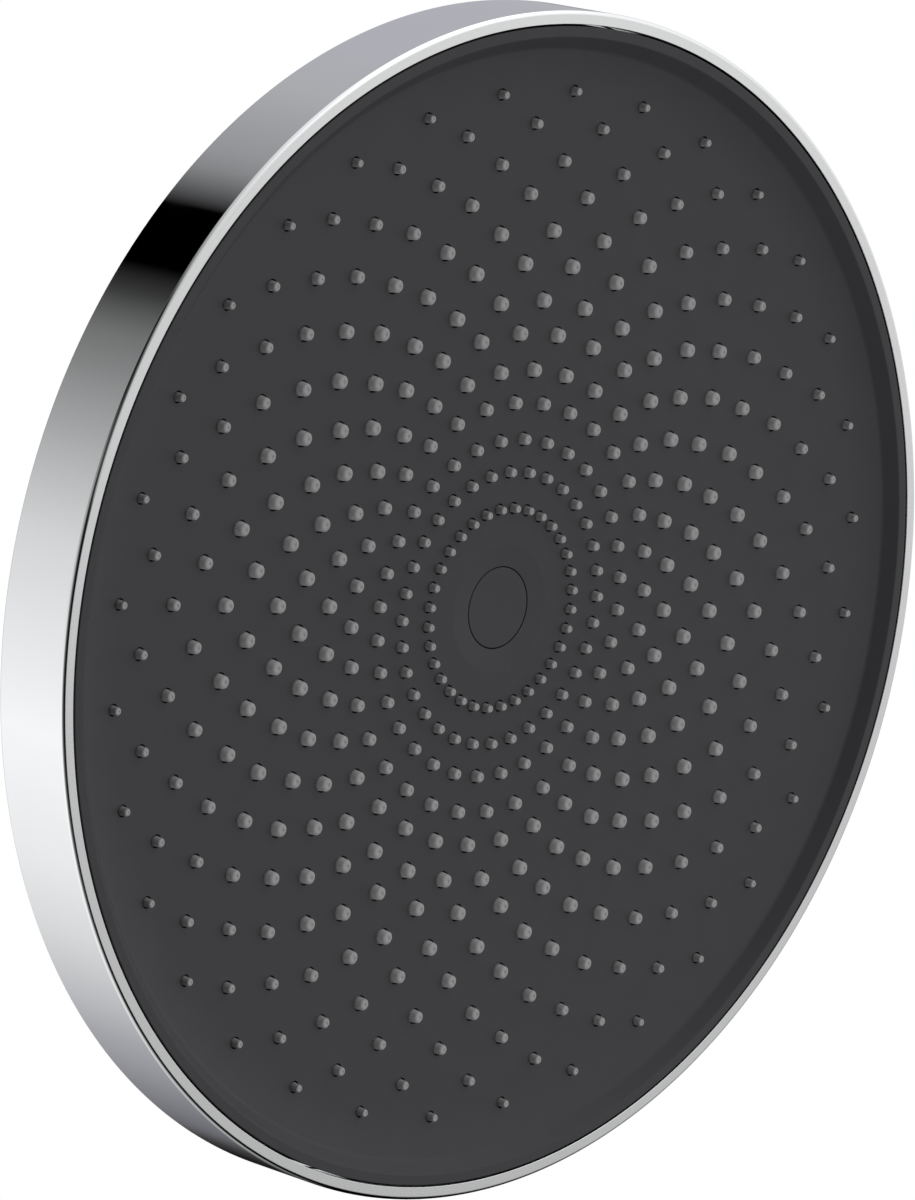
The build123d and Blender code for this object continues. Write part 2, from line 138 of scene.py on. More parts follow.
# Ball joint sections
RING_STEPS = 128
BALL_R = 13.0 * MM
BALL_DROP = 38.5 * MM
BALL_ROWS = 40
NECK_R = 6.5 * MM
STEM_R = 8.0 * MM
STEM_SHOULDER = 2.0 * MM
STEM_BORE_R = 4.6 * MM
LIMITER_SEAT_R = 5.8 * MM
LIMITER_SEAT_DEPTH = 7.6 * MM
GROOVE_DEPTH = 0.8 * MM
GROOVE_WIDTH = 1.6 * MM
GROOVE_PLAY = 0.05 * MM
STEM_ROUND_SHARES = np.array([1.5, 1.5, 0.1, 0.1, 0.1, 0.1, 1.0, 0.5, 0.3, 0.3, 0.6])
HUB_THREAD_R = 17.6 * MM
CASING_WASHER_ROUND = 0.3 * MM
COLLAR_POCKET_R = 16.1 * MM
COLLAR_POCKET_HEIGHT = 7.0 * MM
COLLAR_TOP_R = 16.0 * MM
COLLAR_TOP = 2.5 * MM
COLLAR_CONE = 6.5 * MM
COLLAR_MOUTH_R = 10.7 * MM
COLLAR_FLARE = 1.0 * MM
COLLAR_STEPS = 480
COLLAR_SHARP = 0.9
COLLAR_ROUND_SHARES = np.array([0.5, 1.2, 2.5, 2.0, 1.2, 0.5, 0.5, 0.5, 0.5])
GRIP_COUNT = 10
GRIP_R = 3.0 * MM
GRIP_DEPTH = 0.8 * MM
GRIP_EASE = 900.0
NOTCH_COUNT = 6
NOTCH_HALF_WIDTH = 2.5 * MM
NOTCH_DEPTH = 2.5 * MM
NOTCH_WALL_TURN = 0.002
NOTCH_STEPS = 7
BETWEEN_NOTCHES_STEPS = 20
HUB_NUT_SHARP = 0.6
HUB_NUT_ROUND_SHARES = np.array([0.5, 1.2, 2.0, 0.8])
GRIPPED_ARC_STEPS = 7

# Inlet sections
NUT_SIDES = 6
NUT_STEPS = 180
NUT_CORNER_EASE = 150.0
LEAST_COSINE = 0.3
NUT_CHAMFER = 1.0 * MM
NUT_CHAMFER_ROWS = 12
NUT_ROUND = 0.3 * MM
NUT_SHARP = 0.7
NUT_LIP = 3.5 * MM
SWIVEL_R = 8.1 * MM
RELIEF_R = 10.5775 * MM
THREAD_LENGTH = 10.0 * MM
THREAD_MINOR_R = 9.3155 * MM
THREAD_MAJOR_R = 10.4775 * MM
THREAD_PITCH = 1.814 * MM
THREAD_ROWS = 92
THREAD_CHAMFER = 0.4 * MM
THREAD_RUN_IN = 8.0
THREAD_RUN_OUT = 14.0
ON_BORE_WITHIN = 1e-7
SMALL_RING_STEPS = 96
INLET_WASHER_BORE_R = 5.8 * MM
INLET_WASHER_ROUND = 0.35 * MM
STRAINER_WALL = 0.6 * MM
STRAINER_ROUND = 0.15 * MM
WIRE_ROWS = 41
WIRE_SIDES = 6
WIRE_OVERLAP = 0.1 * MM
WIRE_MARGIN_PITCHES = 0.25
MESH_SINK_WIRES = 2.5

# Stage
SENSOR_WIDTH = 36.0
FLOOR_SIDES = 64
FLOOR_FADE = {"From Min": 0.3, "From Max": 3.0, "To Min": 0.3}
BLACK = (0.0, 0.0, 0.0, 1.0)
WHITE = (1.0, 1.0, 1.0, 1.0)

# Levels that follow from these
back_outer = casing_high.z - BACK_RISE
back_inner = back_outer - CASING_BACK
floor_front = rim_z + DISH_DEPTH
floor_back = floor_front + PLATE_WALL
pocket_floor = cap_high.z
cap_face = cap_low.z
boss_back = pocket_floor + POCKET_FLOOR
ball_z = -BALL_DROP
collar_shoulder = collar_high.z - COLLAR_TOP
hub_top = collar_shoulder - COLLAR_POCKET_HEIGHT
nut_lip_top = nut_low.z + NUT_LIP

# Radii and angles that follow from these
border_inner_r = plate_r - BORDER_WIDTH
slope_foot_r = border_inner_r - SLOPE_WIDTH
bend_r = slope_foot_r - EDGE_CURVE_WIDTH
floor_r = bend_r - DISH_CURVE_WIDTH
bend_lean = np.arcsin(DISH_CURVE_WIDTH / DISH_CURVE_R)
bend_fall = DISH_CURVE_R * (1 - np.cos(bend_lean))
edge_fall = DISH_DEPTH - SLOPE_DEPTH - bend_fall
edge_sag = edge_fall * np.cos(bend_lean) - EDGE_CURVE_WIDTH * np.sin(bend_lean)
edge_curve_r = (EDGE_CURVE_WIDTH**2 + edge_fall**2) / (2 * edge_sag)
last_ring_r = slope_foot_r - LAST_RING_INSET
ring_pitch = (last_ring_r - FIRST_RING_R) / (NOZZLE_RINGS - 1)
half_spoke = np.pi / NOZZLES_PER_RING
notch_edge = np.arcsin(NOTCH_HALF_WIDTH / hub_nut_high.y)


def unit(vectors):
    """Vectors scaled to length one, along the last axis."""
    return vectors / np.linalg.norm(vectors, axis=-1, keepdims=True)


def side_by_side(*parts):
    """Arrays and numbers spread to one shape and set side by side along a new last axis."""
    return np.stack(np.broadcast_arrays(*parts), -1)


def polar(radius, turn, *height):
    """Places at a radius and an angle: x is r cos t, y is r sin t, z is the height if given."""
    return side_by_side(radius * np.cos(turn), radius * np.sin(turn), *height)


def even_turns(count):
    """Even angles once round."""
    return np.linspace(0.0, 2 * np.pi, count, endpoint=False)


def from_nearest(turn, count):
    """Angle from the nearest of count even directions."""
    pitch = 2 * np.pi / count
    return (turn + pitch / 2) % pitch - pitch / 2


def section(corners, rounds, steps=5, closed=True):
    """A half-section with rounded corners, as (radius, height) points and outward normals.

    The corners run anticlockwise, so that outside lies on the right of each side. A corner
    with a round of radius q becomes an arc that touches both of its sides: its centre lies
    on the corner's bisector, at q over the sine of half the corner's angle. A corner with
    no round keeps one point, with the mean normal of its two sides. An open section keeps
    its two end points.
    """
    place = np.array(corners, float)
    q = np.broadcast_to(np.array(rounds, float), len(place)).copy()
    before = np.roll(place, 1, 0)
    after = np.roll(place, -1, 0)
    if not closed:
        before[0] = 2 * place[0] - place[1]
        after[-1] = 2 * place[-1] - place[-2]
    back = unit(before - place)
    ahead = unit(after - place)
    half = 0.5 * np.arccos(np.clip((back * ahead).sum(-1), -1.0, 1.0))
    straight = half > 0.5 * np.pi - STRAIGHT_WITHIN
    q[straight] = 0.0
    out_back = back[:, ::-1] * [-1.0, 1.0]
    out_ahead = ahead[:, ::-1] * [1.0, -1.0]
    bisector = np.where(straight[:, None], out_ahead, back + ahead)
    centre = place + unit(bisector) * (q / np.sin(half))[:, None]
    start = np.arctan2(out_back[:, 1], out_back[:, 0])
    across = out_back[:, 0] * out_ahead[:, 1] - out_back[:, 1] * out_ahead[:, 0]
    sweep = np.arctan2(across, (out_back * out_ahead).sum(-1))
    share = np.where(q[:, None] > 0, np.linspace(0.0, 1.0, steps), 0.5)
    facing = polar(1.0, start[:, None] + sweep[:, None] * share)
    points = centre[:, None] + facing * (q * np.sign(sweep))[:, None, None]
    wanted = (q[:, None] > 0) | (np.arange(steps) == 0)
    return points[wanted], facing[wanted]


def ring_section(inner_r, outer_r, low, high, rounds, steps=5):
    """The section of a plain ring between two radii and two heights."""
    return section([(inner_r, low), (outer_r, low), (outer_r, high), (inner_r, high)], rounds, steps)


def grid_quads(rows, count, closed_rows):
    """Quads of a grid that closes on itself across count, and across rows if asked."""
    row = np.arange(rows if closed_rows else rows - 1)[:, None]
    column = np.arange(count)
    here = row * count
    there = (row + 1) % rows * count
    beside = (column + 1) % count
    quads = side_by_side(here + column, here + beside, there + beside, there + column)
    return quads.reshape(-1, 4)


def repeated(faces, count, points):
    """The faces of one form, for each of count forms that have so many points."""
    starts = np.arange(count)[:, None, None] * points
    return (faces + starts).reshape(-1, faces.shape[-1])


def closed_tubes(count, rows, sides):
    """Quads and end faces of count tubes, each with so many rows of points."""
    lap = np.arange(sides)
    ends = np.stack([lap[::-1], lap + (rows - 1) * sides])
    quads = grid_quads(rows, sides, False)
    return repeated(quads, count, rows * sides), repeated(ends, count, rows * sides)


def carried_round(half_section, turns, closed=True, shape=None):
    """A half-section carried once round the Z axis, with the section's normals.

    shape, if given, makes a new radius from each radius, height and turn, for forms that
    aren't round all the way, such as a hexagon or flutes. Such a surface has no normals.
    """
    points, facing = half_section
    radius, height, turn = np.broadcast_arrays(points[:, :1], points[:, 1:], turns)
    quads = grid_quads(*turn.shape, closed)
    if shape is not None:
        return polar(shape(radius, height, turn), turn, height).reshape(-1, 3), quads, None
    normal = polar(facing[:, :1], turn, facing[:, 1:])
    return polar(radius, turn, height).reshape(-1, 3), quads, normal.reshape(-1, 3)


def starts_of(surfaces):
    """Index of each surface's first point once they are joined, and of the end."""
    return np.cumsum([0] + [len(surface[0]) for surface in surfaces])


def joined(*surfaces):
    """Several surfaces as one set of points, quads and normals."""
    points, quads, normals = zip(*surfaces)
    moved = [faces + start for faces, start in zip(quads, starts_of(surfaces))]
    return np.concatenate(points), np.concatenate(moved), np.concatenate(normals)


def put_piece(name, surface, body, slot, node, *finishes, ends=None, sharp_angle=None):
    """Puts a surface into a new mesh object at the origin, with one vertex to each place.

    A quad with two corners on a pole becomes a triangle, and ends are faces with more
    corners. A surface with normals is shaded by them; on others the edges over sharp_angle
    are marked sharp. The piece gets its finishes and rides on its body, and the CAD node
    that it stands for is hidden. The slot is not used.
    """
    points, quads, normals = surface
    keys = np.round(points / WELD_DISTANCE).astype(np.int64)
    first, back = np.unique(keys, axis=0, return_index=True, return_inverse=True)[1:]
    back = back.reshape(-1)
    quads = back[quads]
    low_pole = quads[:, 0] == quads[:, 1]
    high_pole = quads[:, 2] == quads[:, 3]
    faces = [
        quads[~low_pole & ~high_pole],
        quads[low_pole][:, [1, 2, 3]],
        quads[high_pole][:, [0, 1, 2]],
    ]
    if ends is not None:
        faces.append(back[ends])
    corners = np.concatenate([face.ravel() for face in faces])
    sizes = np.concatenate([np.full(len(face), face.shape[1]) for face in faces])
    starts = np.cumsum(sizes) - sizes
    mesh = bpy.data.meshes.new(name)
    mesh.vertices.add(len(first))
    mesh.vertices.foreach_set("co", points[first].astype(np.float32).ravel())
    mesh.loops.add(len(corners))
    mesh.loops.foreach_set("vertex_index", corners.astype(np.int32))
    mesh.polygons.add(len(sizes))
    mesh.polygons.foreach_set("loop_start", starts.astype(np.int32))
    mesh.polygons.foreach_set("use_smooth", np.ones(len(sizes), bool))
    mesh.update(calc_edges=True)
    if mesh.validate():
        raise RuntimeError(f"{name} has faces that Blender had to mend")
    if normals is not None:
        mesh.normals_split_custom_set_from_vertices(normals[first].tolist())
    elif sharp_angle is not None:
        mesh.set_sharp_from_angle(angle=sharp_angle)
    for finish in finishes:
        mesh.materials.append(finish)
    piece = bpy.data.objects.new(name, mesh)
    bpy.context.scene.collection.objects.link(piece)
    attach(piece, body)
    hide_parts(node)
    return piece


def softest(power, *radii):
    """The least of several radii, with the corner between them eased by a power mean."""
    least = np.minimum.reduce(radii)
    total = sum((least / radius) ** power for radius in radii)
    return least * total ** (-1.0 / power)


def dish_lean(radius):
    """Lean of the spray plate's face: none on the floor, then that of a wide and of a tighter arc."""
    on_wide = np.clip(radius - floor_r, 0.0, DISH_CURVE_WIDTH) / DISH_CURVE_R
    on_edge = np.maximum(0.0, radius - bend_r) / edge_curve_r
    return np.arcsin(on_wide + on_edge)


def dish_height(radius):
    """Height of the plate's face: each arc falls by its radius times the cosine that its lean loses."""
    lean = dish_lean(radius)
    wide_fall = DISH_CURVE_R * (1 - np.cos(np.minimum(lean, bend_lean)))
    edge_fall_here = edge_curve_r * (np.cos(bend_lean) - np.cos(np.maximum(lean, bend_lean)))
    return floor_front - wide_fall - edge_fall_here


def dish_normal(radius, turn):
    """Outward normal of the plate's face: straight down on the floor, leaning in on the arcs."""
    lean = dish_lean(radius)
    return polar(-np.sin(lean), turn, -np.cos(lean))


def nozzle_field():
    """Radius, angle and size share of each nozzle, by ring and spoke.

    The radius grows by one pitch a ring, with odd rings set out a little and turned by half
    a spoke. The share falls evenly towards the first and the last ring.
    """
    ring = np.arange(NOZZLE_RINGS)[:, None]
    spoke = np.arange(NOZZLES_PER_RING)
    odd = ring % 2
    radius = FIRST_RING_R + ring * ring_pitch + odd * ODD_RING_SHIFT
    turn = (2 * spoke + odd) * half_spoke
    from_end = np.minimum(ring, NOZZLE_RINGS - 1 - ring)
    taper = END_NOZZLE_SHARE + (1 - END_NOZZLE_SHARE) * from_end / TAPER_RINGS
    return np.broadcast_arrays(radius, turn, np.minimum(1.0, taper))


def cell_borders():
    """Radii half way between the nozzle rings, and as far again outside the first and last."""
    middle = nozzle_field()[0][:, 0]
    between = (middle[1:] + middle[:-1]) / 2
    return np.concatenate([[middle[0] - ring_pitch / 2], between, [middle[-1] + ring_pitch / 2]])


def plate_cells(root_r, gap, lip):
    """The plate between its rings of nozzles, one cell to a nozzle, each with a round hole.

    A cell's outline is the patch between two radii and two angles, walked in even steps. The
    face runs from the outline to a circle round the nozzle, over a small lip, up the hole's
    wall to the back, and out to the same outline there. The gap round a nozzle is the same
    for all sizes.
    """
    radius, turn, share = (values[..., None] for values in nozzle_field())
    borders = cell_borders()
    inner = borders[:-1, None, None]
    outer = borders[1:, None, None]
    step = np.linspace(-1.0, 1.0, CELL_SIDE, endpoint=False)
    edge = np.ones(CELL_SIDE)
    across = np.concatenate([step, edge, -step, -edge])
    outward = np.concatenate([-edge, step, edge, -step])
    count = len(across)
    outline_t = turn + across * half_spoke
    outline_r = inner + (outward + 1) / 2 * (outer - inner) + 0.0 * turn
    lap = turn - np.pi * (FIRST_CORNER + 2 * np.arange(count) / count)
    wall_r = root_r * share + gap
    lip_x, lip_y = np.moveaxis(polar(radius, turn) + polar(wall_r + lip, lap), -1, 0)
    wall_x, wall_y = np.moveaxis(polar(radius, turn) + polar(wall_r, lap), -1, 0)
    lip_r = np.hypot(lip_x, lip_y)
    up = np.broadcast_to((0.0, 0.0, 1.0), (*lap.shape, 3))
    rows = [
        polar(outline_r, outline_t, dish_height(outline_r)),
        side_by_side(lip_x, lip_y, dish_height(lip_r)),
        side_by_side(wall_x, wall_y, dish_height(np.hypot(wall_x, wall_y)) + lip),
        side_by_side(wall_x, wall_y, floor_back),
        polar(outline_r, outline_t, floor_back),
    ]
    facing = [
        dish_normal(outline_r, outline_t),
        dish_normal(lip_r, np.arctan2(lip_y, lip_x)),
        polar(-1.0, lap, 0.0),
        up,
        up,
    ]
    quads = repeated(grid_quads(len(rows), count, False), turn.size, len(rows) * count)
    return np.stack(rows, 2).reshape(-1, 3), quads, np.stack(facing, 2).reshape(-1, 3)


def splitting_ring(coarse, fine, coarse_first):
    """Faces between a ring of points and a ring with more: one face to each coarse step.

    coarse and fine are the index of each ring's first point and its count. A face has the two
    points of a coarse step and all points of the fine ring that lie beside it.
    """
    (coarse_start, coarse_count), (fine_start, fine_count) = coarse, fine
    split = fine_count // coarse_count
    step = np.arange(coarse_count)[:, None]
    near = coarse_start + (step + [0, 1]) % coarse_count
    far = fine_start + (step * split + np.arange(split + 1)) % fine_count
    if coarse_first:
        return np.concatenate([near, far[:, ::-1]], 1)
    return np.concatenate([far, near[:, ::-1]], 1)


def spray_plate_surface(root_r, gap, lip, edge_round, foot_round):
    """The whole plate: its cells, the boss and dimple inside them and the border outside.

    The inner strip runs from the back round the boss and the cap's pocket to the floor. The
    outer strip runs down the arcs of the dish, out over the slope and border, and round the
    skirt to the back. It has more steps than the cells, so a ring of splitting faces joins
    them in front and another behind.
    """
    first_r, *_, last_r = cell_borders()
    turns = even_turns(NOZZLES_PER_RING * CELL_SIDE)
    fine_turns = even_turns(len(turns) * RIM_SPLIT)
    skirt_r = plate_r - SKIRT_WALL
    boss = [(first_r, floor_back), (BOSS_R, floor_back), (BOSS_R, boss_back), (TIE_HOLE_R, boss_back)]
    boss += [(TIE_HOLE_R, pocket_floor), (POCKET_R, pocket_floor), (POCKET_R, cap_face)]
    boss += [(DIMPLE_R, floor_front), (first_r, floor_front)]
    arc_r = np.linspace(last_r, slope_foot_r, EDGE_CURVE_ROWS)[1:]
    arc = side_by_side(arc_r, dish_height(arc_r))
    skirt = [(border_inner_r, rim_z), (plate_r, rim_z), (plate_r, plate_top), (skirt_r, plate_top)]
    skirt += [(skirt_r, rim_z + SKIRT_ROOT), (cover_high.x, floor_back)]
    arc_rounds = np.where(arc_r == slope_foot_r, foot_round, 0.0)
    outer_rounds = np.concatenate([arc_rounds, [edge_round], SKIRT_ROUNDS])
    inner = section(boss, BOSS_ROUNDS, closed=False)
    outer = section(np.concatenate([arc, skirt]), outer_rounds, closed=False)
    lean = dish_lean(last_r)
    seams = np.array([(last_r, dish_height(last_r)), (last_r, floor_back)])
    seam_facing = np.array([(-np.sin(lean), -np.cos(lean)), (0.0, 1.0)])
    seam_points, no_quads, seam_normals = carried_round((seams, seam_facing), turns)
    surfaces = [
        plate_cells(root_r, gap, lip),
        carried_round(inner, turns, closed=False),
        carried_round(outer, fine_turns, closed=False),
        (seam_points, no_quads[:0], seam_normals),
    ]
    starts = starts_of(surfaces)
    steps = len(turns)
    fine_steps = len(fine_turns)
    front = splitting_ring((starts[3], steps), (starts[2], fine_steps), True)
    behind = splitting_ring((starts[3] + steps, steps), (starts[3] - fine_steps, fine_steps), False)
    return joined(*surfaces), np.concatenate([front, behind])


def nozzles_surface(shape, sides):
    """All nozzles: one half-section turned about each nozzle's own upright axis.

    Each row of shape is a radius, a height below the plate's face, the sideways and downward
    parts of the normal and a width that all sizes gain alike. The rows run from the orifice's
    floor out over the rounded tip and up the flank to the root that plugs the hole. All
    nozzles are equally high, and each is as wide as its size share says. The flanks of wide
    nozzles are shaded as domed and those of narrow ones as straight.
    """
    radius, turn, share = (values[..., None, None] for values in nozzle_field())
    reach, drop, sideways, down, gain = shape.T[..., None]
    lap = even_turns(sides)
    place = polar(radius, turn, dish_height(radius) - drop) + polar(share * reach + gain, lap, 0.0)
    flank = np.where(sideways < 1.0, 1.0, 2.0 * share - 1.0)
    facing = unit(side_by_side(sideways, -down * flank))
    normal = polar(facing[..., 0], lap, facing[..., 1])
    quads, ends = closed_tubes(turn.size, len(shape), sides)
    return (place.reshape(-1, 3), quads, normal.reshape(-1, 3)), ends


def fluted(radius, height, turn):
    """Radius of the collar: its section, cut back where the ray meets one of the round flutes.

    A flute is a circle of radius g whose centre lies at distance c from the axis; a ray at
    angle a from it meets the circle at c cos a less the root of g squared less c sin a squared.
    """
    centre_r = collar_high.y + GRIP_R - GRIP_DEPTH
    off = from_nearest(turn, GRIP_COUNT)
    under_root = GRIP_R**2 - (centre_r * np.sin(off)) ** 2
    cut = centre_r * np.cos(off) - np.sqrt(np.maximum(under_root, 0.0))
    return softest(GRIP_EASE, radius, np.where(under_root > 0, cut, 2 * centre_r))


def notched(radius, height, turn):
    """Radius of the hub nut: its section, cut back to a flat inside each of the notches."""
    off = from_nearest(turn, NOTCH_COUNT)
    flat = (hub_nut_high.y - NOTCH_DEPTH) / np.cos(off)
    return np.where(np.abs(off) < notch_edge, np.minimum(radius, flat), radius)


def notch_turns():
    """Angles round the hub nut: even ones in and between the notches, close to each wall."""
    pitch = 2 * np.pi / NOTCH_COUNT
    low = notch_edge - NOTCH_WALL_TURN
    high = notch_edge + NOTCH_WALL_TURN
    inside = np.linspace(-low, low, NOTCH_STEPS)
    outside = np.linspace(high, pitch - high, BETWEEN_NOTCHES_STEPS)
    one = np.concatenate([inside, outside])
    return (one + pitch * np.arange(NOTCH_COUNT)[:, None]).ravel()


def hexagonal(radius, height, turn):
    """Radius of the union nut: its turned section within a hexagon with eased corners.

    A side at distance d from the axis is met at d over the cosine of the angle from that
    side. Below the mouth the bore also carries the inlet's thread: a wave in height less one
    pitch a turn, which fades at both ends.
    """
    side = 2 * np.pi / NUT_SIDES
    off = turn % side - side / 2
    flats = [nut_high.y / np.maximum(np.cos(off + lean), LEAST_COSINE) for lean in (-side, 0.0, side)]
    outside = softest(NUT_CORNER_EASE, radius, *flats)
    phase = height / THREAD_PITCH - turn / (2 * np.pi)
    wave = 0.5 - 0.5 * np.cos(2 * np.pi * phase)
    depth = -height / THREAD_LENGTH
    fade = np.clip(THREAD_RUN_IN * depth, 0.0, 1.0) * np.clip(THREAD_RUN_OUT * (1 - depth), 0.0, 1.0)
    in_bore = (np.abs(radius - THREAD_MINOR_R) < ON_BORE_WITHIN) & (depth > 0) & (depth < 1)
    groove = THREAD_MINOR_R + (THREAD_MAJOR_R - THREAD_MINOR_R) * wave * fade
    return np.where(in_bore, groove, outside)


def woven_wires(reach, pitch, wire_r, level):
    """Two sets of wires across a disc, each a tube that rises and falls over the other set.

    A wire lies at a whole number of pitches from the middle and is as long as the disc is
    wide there. Its height is the wire's radius times the cosine of pi times the distance
    along it in pitches, and the next wire's is the opposite.
    """
    half_count = int(reach / pitch - WIRE_MARGIN_PITCHES)
    number = np.arange(-half_count, half_count + 1)[:, None, None]
    lap = even_turns(WIRE_SIDES)
    offset = number * pitch
    run = np.linspace(-1.0, 1.0, WIRE_ROWS)[:, None] * np.sqrt(reach**2 - offset**2)
    wave = np.cos(np.pi * (run / pitch + number)) * wire_r
    side = offset + wire_r * np.cos(lap)
    height = level + wave + wire_r * np.sin(lap)
    both = [side_by_side(run, side, height), side_by_side(-side, run, 2 * level - height)]
    quads, ends = closed_tubes(2 * number.size, WIRE_ROWS, WIRE_SIDES)
    return (np.stack(both).reshape(-1, 3), quads, None), ends


def empty_tree(owner):
    """The node tree of a material or a world, cleared."""
    owner.use_nodes = True
    owner.node_tree.nodes.clear()
    return owner.node_tree


def add_node(tree, kind, inputs=None, **settings):
    """A new shader node, with each input set to a constant or linked to an output."""
    node = tree.nodes.new("ShaderNode" + kind)
    for name, value in settings.items():
        setattr(node, name, value)
    for name, value in (inputs or {}).items():
        if isinstance(value, bpy.types.NodeSocket):
            tree.links.new(value, node.inputs[name])
        else:
            node.inputs[name].default_value = value
    return node


def output_of(tree, kind, output, inputs=None, **settings):
    """One output of a new shader node."""
    return add_node(tree, kind, inputs, **settings).outputs[output]


def mixed_shaders(tree, share, first, second):
    """Two shaders mixed, with this share of the second."""
    return output_of(tree, "MixShader", "Shader", {"Fac": share, 1: first, 2: second})


def shaded(name, values):
    """A new material whose one shader has these constant values; gives it and its parts."""
    finish = bpy.data.materials.new(name)
    tree = empty_tree(finish)
    shader = add_node(tree, "BsdfPrincipled", values)
    add_node(tree, "OutputMaterial", {"Surface": shader.outputs["BSDF"]})
    return finish, tree, shader


def grain(tree, grain_size, detail=2.0, stretch=(1.0, 1.0, 1.0)):
    """Noise on the piece's own coordinates, with grains of about this size in metres."""
    own = output_of(tree, "TexCoord", "Object")
    scaled = output_of(tree, "Mapping", "Vector", {"Vector": own, "Scale": stretch})
    inputs = {"Vector": scaled, "Scale": 1.0 / grain_size, "Detail": detail}
    return output_of(tree, "TexNoise", "Fac", inputs)


def axis_distance(tree):
    """Distance from the Z axis, in the piece's own coordinates."""
    own = output_of(tree, "TexCoord", "Object")
    flat = output_of(tree, "VectorMath", "Vector", {0: own, 1: (1.0, 1.0, 0.0)}, operation="MULTIPLY")
    return output_of(tree, "VectorMath", "Value", {0: flat}, operation="LENGTH")


def turning_lines(tree, spacing):
    """Noise on the distance from the head's axis, as fine lines from a lathe or a brush."""
    inputs = {"W": axis_distance(tree), "Scale": 1.0 / spacing, "Detail": 3.0}
    return output_of(tree, "TexNoise", "Fac", inputs, noise_dimensions="1D")


def vary_colour(tree, shader, source, colour, spread):
    """Lets a colour go a little darker and lighter with a noise."""
    dark = (*[c * (1 - spread) for c in colour], 1.0)
    light = (*[min(1.0, c * (1 + spread)) for c in colour], 1.0)
    inputs = {"Factor": source, "A": dark, "B": light}
    mix = output_of(tree, "Mix", "Result", inputs, data_type="RGBA")
    tree.links.new(mix, shader.inputs["Base Color"])


def vary_roughness(tree, shader, source, low, high):
    """Spreads a noise over a range of roughness."""
    inputs = {"Value": source, "From Min": 0.3, "From Max": 0.7, "To Min": low, "To Max": high}
    tree.links.new(output_of(tree, "MapRange", "Result", inputs), shader.inputs["Roughness"])


def raise_grain(tree, shader, source, height, strength):
    """Turns a noise into fine relief of this height in metres."""
    inputs = {"Height": source, "Distance": height, "Strength": strength}
    tree.links.new(output_of(tree, "Bump", "Normal", inputs), shader.inputs["Normal"])


def finish_of(name, make, *values):
    """The finish of that name, made on first use."""
    return bpy.data.materials.get(name) or make(name, *values)


def make_chrome(name, colour):
    """Polished chrome plate: a clear mirror with a faint haze in soft patches."""
    finish, tree, shader = shaded(name, {"Metallic": 1.0})
    patches = grain(tree, 9 * MM, detail=3.0)
    vary_colour(tree, shader, patches, colour, 0.012)
    vary_roughness(tree, shader, patches, 0.03, 0.06)
    return finish


def make_satin_chrome(name, colour):
    """Chrome on the turned rim face: fine rings from the lathe soften the mirror."""
    finish, tree, shader = shaded(name, {"Metallic": 1.0})
    rings = turning_lines(tree, 0.12 * MM)
    vary_colour(tree, shader, rings, colour, 0.05)
    vary_roughness(tree, shader, rings, 0.2, 0.32)
    raise_grain(tree, shader, rings, 0.004 * MM, 0.3)
    return finish


def make_moulded(name, colour, grain_size, roughness, relief, gloss=0.5):
    """Moulded plastic or rubber: a fine even grain in colour, gloss and relief."""
    finish, tree, shader = shaded(name, {"IOR": 1.48, "Specular IOR Level": gloss})
    fine = grain(tree, grain_size, detail=3.0)
    cloudy = grain(tree, 40 * grain_size)
    vary_colour(tree, shader, cloudy, colour, 0.06)
    vary_roughness(tree, shader, fine, roughness - 0.05, roughness + 0.05)
    raise_grain(tree, shader, fine, relief, 0.4)
    return finish


def make_steel(name, colour):
    """Drawn stainless steel: lengthwise streaks in a soft shine."""
    finish, tree, shader = shaded(name, {"Metallic": 1.0})
    streaks = grain(tree, 0.4 * MM, stretch=(1.0, 1.0, 0.2))
    vary_colour(tree, shader, streaks, colour, 0.08)
    vary_roughness(tree, shader, streaks, 0.22, 0.34)
    return finish


def colour_property(name, description, default):
    """A colour that the user can change."""
    return bpy.props.FloatVectorProperty(
        name=name, description=description, default=default, subtype="COLOR", size=3, min=0.0, max=1.0
    )


def length_property(name, description, default):
    """A length that the user can change, in metres."""
    return bpy.props.FloatProperty(
        name=name, description=description, default=default, unit="LENGTH", min=0.0, precision=5
    )


def space_property(name, description, default, subtype):
    """A place or a turn in space that the user can change."""
    said = {"name": name, "description": description, "default": default}
    return bpy.props.FloatVectorProperty(**said, subtype=subtype)


def number_property(name, description, default, least):
    """A number that the user can change: a count if its least value is whole."""
    kind = bpy.props.IntProperty if isinstance(least, int) else bpy.props.FloatProperty
    return kind(name=name, description=description, default=default, min=least)


class CasingSettings(bpy.types.PropertyGroup):
    """The chromed casing and its rim."""

    edge_round: length_property("Edge round", "Radius along the casing's edges", 0.25 * MM)
    turns: number_property("Turns", "Steps round the casing", 512, 48)
    chrome: colour_property("Chrome", "Colour of the polished chrome", (0.86, 0.87, 0.88))
    rim: colour_property("Rim", "Colour of the turned rim face", (0.84, 0.845, 0.85))
    # Darker than the chrome: partly a duller finish, partly painted shade that keeps the narrow gap beside
    # the plate dark.
    gap: colour_property("Gap", "Colour of the rim's unpolished inside", (0.7, 0.7, 0.71))


class PlateSettings(bpy.types.PropertyGroup):
    """The dished spray plate and its centre cap."""

    hole_gap: length_property("Hole gap", "Gap round a nozzle in its hole", 0.53 * MM)
    hole_lip: length_property("Hole lip", "Eased edge of each hole", 0.12 * MM)
    edge_round: length_property("Edge round", "Radius where the slope meets the border", 0.8 * MM)
    foot_round: length_property("Foot round", "Radius where the slope meets the dish", 2.5 * MM)
    cap_round: length_property("Cap round", "Radius along the edge of the centre cap", 0.25 * MM)
    colour: colour_property("Plate", "Colour of the graphite plastic", (0.0380, 0.0380, 0.0412))


